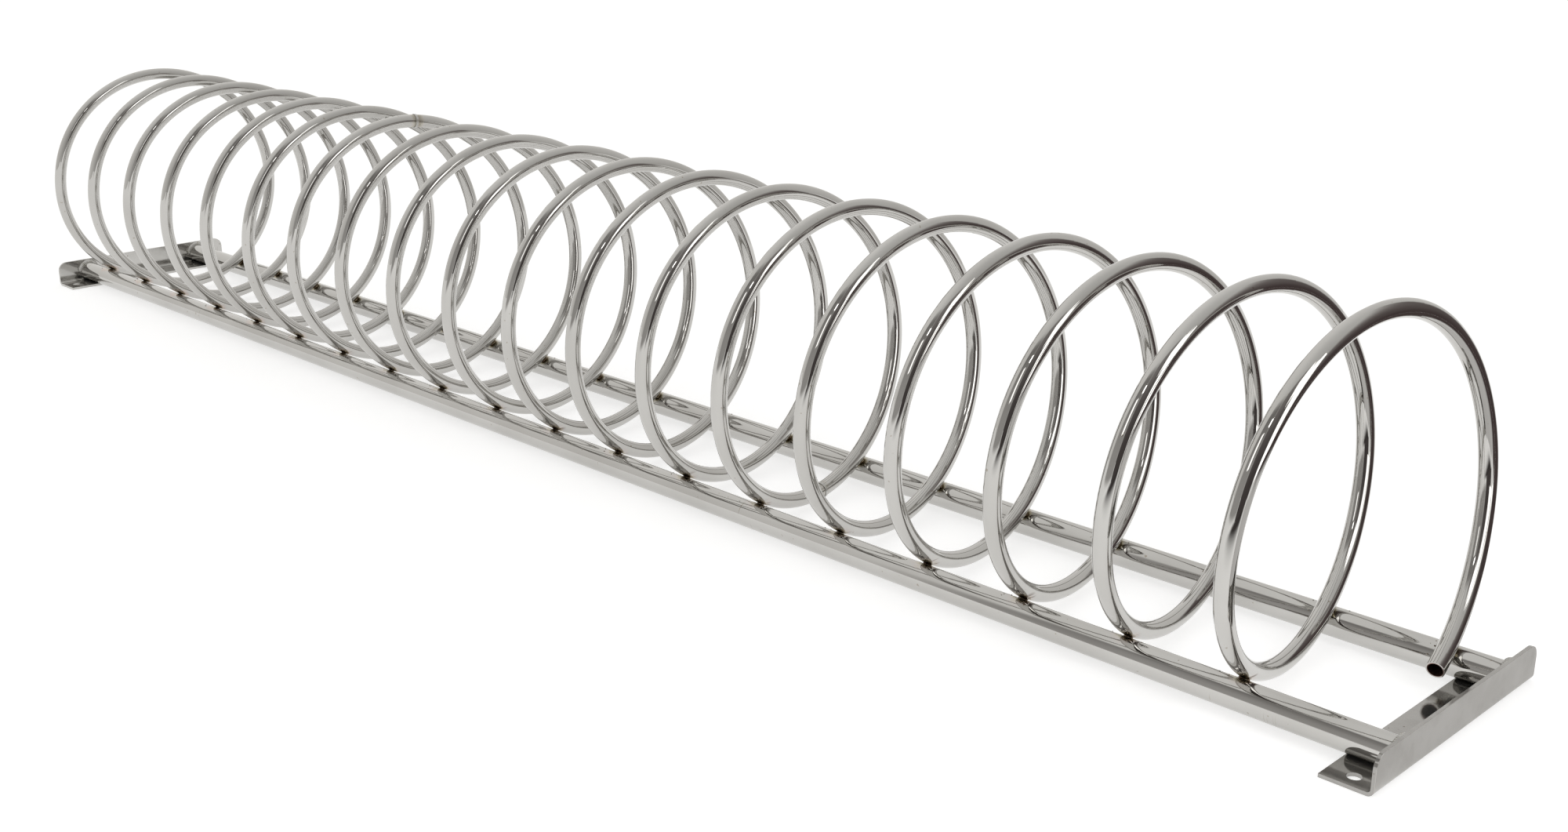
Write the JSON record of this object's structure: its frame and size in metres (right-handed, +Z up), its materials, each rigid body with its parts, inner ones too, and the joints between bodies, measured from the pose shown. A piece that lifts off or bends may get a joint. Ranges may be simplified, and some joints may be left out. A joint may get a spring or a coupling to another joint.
{
  "type": "bike rack",
  "caption": "Floor-standing spiral bicycle rack: polished steel tube coiled into upright wheel loops, welded along two round rails between angle brackets with anchor holes.",
  "frame": {"origin": "on the floor, midway between the two end plates and between the two rails", "axes": "+X along the rails to the end where the spiral tube starts, +Y to the rear rail, +Z up"},
  "size_m": [2.0544, 0.305, 0.3103],
  "materials": {
    "spiral_steel": "polished",
    "rail_steel": "polished",
    "bracket_steel": "satin",
    "weld_steel": "heat-tinted"
  },
  "bodies": {
    "root": {"front_loop_welds": "weld_steel", "front_rail": "rail_steel", "joint_sleeve_1": "spiral_steel", "joint_sleeve_2": "spiral_steel", "joint_weld_1": "weld_steel", "joint_weld_2": "weld_steel", "left_bracket": "bracket_steel", "left_front_rail_weld": "weld_steel", "left_rear_rail_weld": "weld_steel", "loop_01": "spiral_steel", "loop_02": "spiral_steel", "loop_03": "spiral_steel", "loop_04": "spiral_steel", "loop_05": "spiral_steel", "loop_06": "spiral_steel", "loop_07": "spiral_steel", "loop_08": "spiral_steel", "loop_09": "spiral_steel", "loop_10": "spiral_steel", "loop_11": "spiral_steel", "loop_12": "spiral_steel", "loop_13": "spiral_steel", "loop_14": "spiral_steel", "loop_15": "spiral_steel", "loop_16": "spiral_steel", "loop_17": "spiral_steel", "loop_18": "spiral_steel", "loop_19": "spiral_steel", "rear_loop_welds": "weld_steel", "rear_rail": "rail_steel", "right_bracket": "bracket_steel", "right_front_rail_weld": "weld_steel", "right_rear_rail_weld": "weld_steel"}
  },
  "joints": []
}
